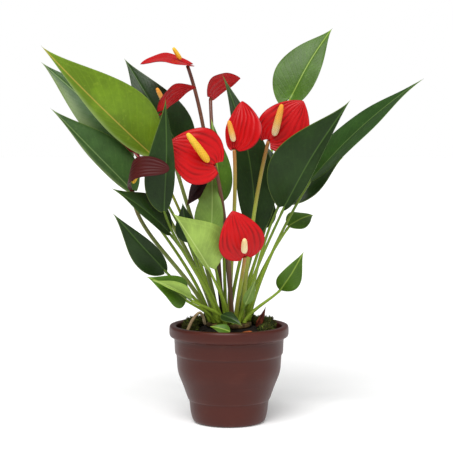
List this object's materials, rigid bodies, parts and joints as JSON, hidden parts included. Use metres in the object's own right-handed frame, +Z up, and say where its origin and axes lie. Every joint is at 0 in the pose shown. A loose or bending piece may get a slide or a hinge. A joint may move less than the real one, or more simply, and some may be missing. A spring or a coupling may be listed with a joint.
{
  "type": "potted anthurium",
  "caption": "Young red-flowering anthurium with long pointed leaves and heart-shaped spathes, growing in a tapered brown nursery pot.",
  "frame": {"origin": "middle of the pot's flat base, on the surface that the pot stands on", "axes": "+Z up along the pot's axis, -Y towards the plant's front, +X to its right as seen from the front"},
  "size_m": [0.3791, 0.1934, 0.3982],
  "materials": {
    "pot_plastic": "satin",
    "peat": "matte",
    "moss": "matte",
    "rootstock": "matte",
    "bark": "matte",
    "dry_stalk": "matte",
    "sheath": "matte",
    "leaf_dark": "satin",
    "leaf_mid": "satin",
    "leaf_young": "satin",
    "flower_stem": "satin",
    "spathe_red": "satin",
    "spathe_dark": "satin",
    "spadix": "matte"
  },
  "bodies": {
    "root": {"bark_chip": "bark", "crown": "rootstock", "dead_stalk": "dry_stalk", "flower_back_spadix": "spadix", "flower_back_spathe": "spathe_red", "flower_back_stem": "flower_stem", "flower_behind_spadix": "spadix", "flower_behind_spathe": "spathe_red", "flower_behind_stem": "flower_stem", "flower_faded_spadix": "spadix", "flower_faded_spathe": "spathe_dark", "flower_faded_stem": "flower_stem", "flower_hidden_spadix": "spadix", "flower_hidden_spathe": "spathe_red", "flower_hidden_stem": "flower_stem", "flower_low_spadix": "spadix", "flower_low_spathe": "spathe_red", "flower_low_stem": "flower_stem", "flower_main_spadix": "spadix", "flower_main_spathe": "spathe_red", "flower_main_stem": "flower_stem", "flower_right_spadix": "spadix", "flower_right_spathe": "spathe_red", "flower_right_stem": "flower_stem", "flower_top_spadix": "spadix", "flower_top_spathe": "spathe_red", "flower_top_stem": "flower_stem", "flower_upright_spadix": "spadix", "flower_upright_spathe": "spathe_red", "flower_upright_stem": "flower_stem", "leaf_back_left": "leaf_dark", "leaf_centre_green": "leaf_mid", "leaf_centre_left": "leaf_dark", "leaf_centre_low": "leaf_dark", "leaf_centre_right": "leaf_dark", "leaf_centre_tall": "leaf_dark", "leaf_crown_narrow": "leaf_dark", "leaf_fallen": "leaf_dark", "leaf_front_bright": "leaf_young", "leaf_front_middle": "leaf_mid", "leaf_front_narrow": "leaf_dark", "leaf_left_high_back": "leaf_dark", "leaf_left_high_front": "leaf_mid", "leaf_left_low_front": "leaf_dark", "leaf_left_lowest": "leaf_dark", "leaf_left_middle": "leaf_dark", "leaf_right_front": "leaf_dark", "leaf_right_high": "leaf_mid", "leaf_right_long": "leaf_dark", "leaf_right_low": "leaf_dark", "leaf_right_lowest": "leaf_mid", "leaf_right_small": "leaf_mid", "leaf_rolled_left": "leaf_young", "leaf_small_left": "leaf_mid", "leaf_soil_front": "leaf_dark", "moss": "moss", "pot": "pot_plastic", "sheath": "sheath", "soil": "peat", "young_spathe": "spathe_dark"}
  },
  "joints": []
}
